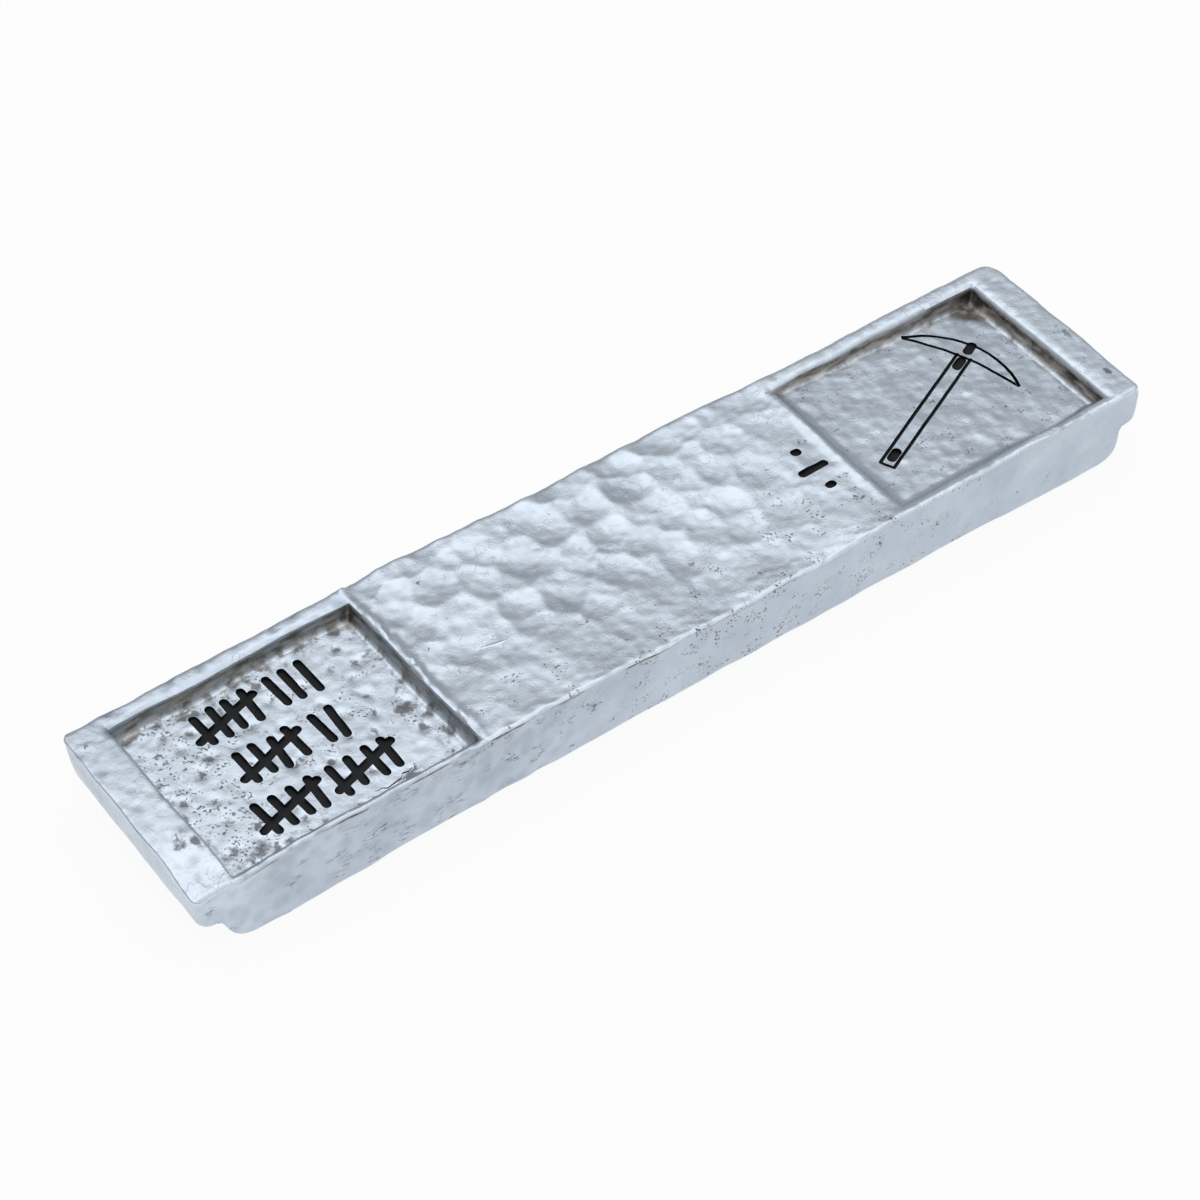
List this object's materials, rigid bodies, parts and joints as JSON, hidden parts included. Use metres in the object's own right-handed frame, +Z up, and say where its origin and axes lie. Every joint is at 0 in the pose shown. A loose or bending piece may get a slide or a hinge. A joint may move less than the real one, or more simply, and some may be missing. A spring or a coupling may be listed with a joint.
{
  "type": "tin ingot",
  "caption": "Slim cast tin ingot with a hammered top, shallow sunk panels towards its ends, overhanging end lugs and flat feet to rest on.",
  "frame": {"origin": "centre of the bar's footprint, on the floor that its feet rest on", "axes": "+X along the bar towards the end with the shorter lug, +Y towards the side with the wider panel rim, +Z up through the hammered top"},
  "size_m": [0.1, 0.0204, 0.008],
  "materials": {
    "tin": "satin"
  },
  "bodies": {
    "root": {"ingot": "tin"}
  },
  "joints": []
}
